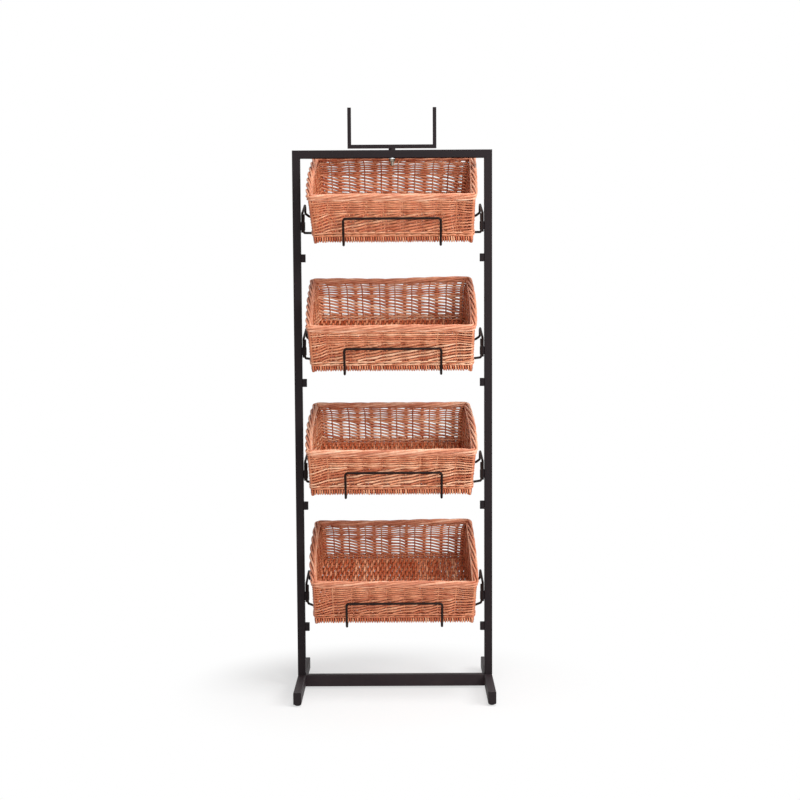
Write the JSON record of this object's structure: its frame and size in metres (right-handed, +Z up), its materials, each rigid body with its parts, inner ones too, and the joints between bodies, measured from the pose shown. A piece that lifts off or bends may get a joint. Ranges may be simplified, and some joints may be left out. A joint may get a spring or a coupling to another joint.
{
  "type": "bread basket rack",
  "caption": "Tall tube-frame floor rack with tilted wicker baskets on wire trays hooked into sockets on its uprights, levelling feet and a swivelling card holder on top.",
  "frame": {"origin": "on the floor, at the middle of the base", "axes": "+X across the rack, -Y to the front, +Z up"},
  "size_m": [0.5, 0.4, 1.474],
  "materials": {
    "powder_coat": "satin powder coat",
    "wire_coat": "satin powder coat",
    "zinc": "bright zinc plate",
    "moulding": "fine moulded grain",
    "wicker": "woven buff willow"
  },
  "bodies": {
    "frame": {"top_rail": "powder_coat", "crossbar": "powder_coat", "upright_left": "powder_coat", "upright_right": "powder_coat", "foot_left": "powder_coat", "foot_right": "powder_coat", "foot_end_caps": "moulding", "upright_bolts": "zinc", "upright_washers": "zinc", "upright_nut_plates": "zinc", "leveller_nuts": "zinc", "tray_sockets_left": "powder_coat", "tray_sockets_right": "powder_coat", "spare_sockets_left": "powder_coat", "spare_sockets_right": "powder_coat"},
    "card_holder": {"holder_base": "powder_coat", "holder_arm_left": "powder_coat", "holder_arm_right": "powder_coat", "holder_stud": "zinc", "holder_spacer": "moulding", "holder_washer": "zinc", "holder_nut": "zinc"},
    "tray_1": {"tray_1_rear_wire": "wire_coat", "tray_1_front_wire": "wire_coat", "tray_1_lip_wire": "wire_coat"},
    "basket_1": {"basket_1_base": "wicker", "basket_1_walls": "wicker", "basket_1_border": "wicker"},
    "tray_2": {"tray_2_rear_wire": "wire_coat", "tray_2_front_wire": "wire_coat", "tray_2_lip_wire": "wire_coat"},
    "basket_2": {"basket_2_base": "wicker", "basket_2_walls": "wicker", "basket_2_border": "wicker"},
    "tray_3": {"tray_3_rear_wire": "wire_coat", "tray_3_front_wire": "wire_coat", "tray_3_lip_wire": "wire_coat"},
    "basket_3": {"basket_3_base": "wicker", "basket_3_walls": "wicker", "basket_3_border": "wicker"},
    "tray_4": {"tray_4_rear_wire": "wire_coat", "tray_4_front_wire": "wire_coat", "tray_4_lip_wire": "wire_coat"},
    "basket_4": {"basket_4_base": "wicker", "basket_4_walls": "wicker", "basket_4_border": "wicker"},
    "leveller_front_left": {"leveller_pad_front_left": "moulding", "leveller_stud_front_left": "zinc"},
    "leveller_front_right": {"leveller_pad_front_right": "moulding", "leveller_stud_front_right": "zinc"},
    "leveller_rear_left": {"leveller_pad_rear_left": "moulding", "leveller_stud_rear_left": "zinc"},
    "leveller_rear_right": {"leveller_pad_rear_right": "moulding", "leveller_stud_rear_right": "zinc"}
  },
  "joints": [
    {"name": "card_holder_swivel", "type": "hinge", "parent": "frame", "child": "card_holder", "pos_m": [0, 0, 1.3735], "axis": [0, 0, 1], "continuous": true},
    {"name": "tray_1_lift", "type": "slide", "parent": "frame", "child": "tray_1", "axis": [0, 0, 1], "range_m": [0, 0.014]},
    {"name": "basket_1_slide_out", "type": "slide", "parent": "tray_1", "child": "basket_1", "axis": [0, 0.9219, 0.3875], "range_m": [0, 0.3]},
    {"name": "tray_2_lift", "type": "slide", "parent": "frame", "child": "tray_2", "axis": [0, 0, 1], "range_m": [0, 0.04]},
    {"name": "basket_2_lift_out", "type": "slide", "parent": "tray_2", "child": "basket_2", "axis": [0, -0.3875, 0.9219], "range_m": [0, 0.095]},
    {"name": "tray_3_lift", "type": "slide", "parent": "frame", "child": "tray_3", "axis": [0, 0, 1], "range_m": [0, 0.04]},
    {"name": "basket_3_lift_out", "type": "slide", "parent": "tray_3", "child": "basket_3", "axis": [0, -0.3305, 0.9438], "range_m": [0, 0.095]},
    {"name": "tray_4_lift", "type": "slide", "parent": "frame", "child": "tray_4", "axis": [0, 0, 1], "range_m": [0, 0.04]},
    {"name": "basket_4_lift_out", "type": "slide", "parent": "tray_4", "child": "basket_4", "axis": [0, -0.3875, 0.9219], "range_m": [0, 0.095]},
    {"name": "leveller_front_left_screw", "type": "slide", "parent": "frame", "child": "leveller_front_left", "axis": [0, 0, -1], "range_m": [0, 0.012]},
    {"name": "leveller_front_right_screw", "type": "slide", "parent": "frame", "child": "leveller_front_right", "axis": [0, 0, -1], "range_m": [0, 0.012]},
    {"name": "leveller_rear_left_screw", "type": "slide", "parent": "frame", "child": "leveller_rear_left", "axis": [0, 0, -1], "range_m": [0, 0.012]},
    {"name": "leveller_rear_right_screw", "type": "slide", "parent": "frame", "child": "leveller_rear_right", "axis": [0, 0, -1], "range_m": [0, 0.012]}
  ]
}
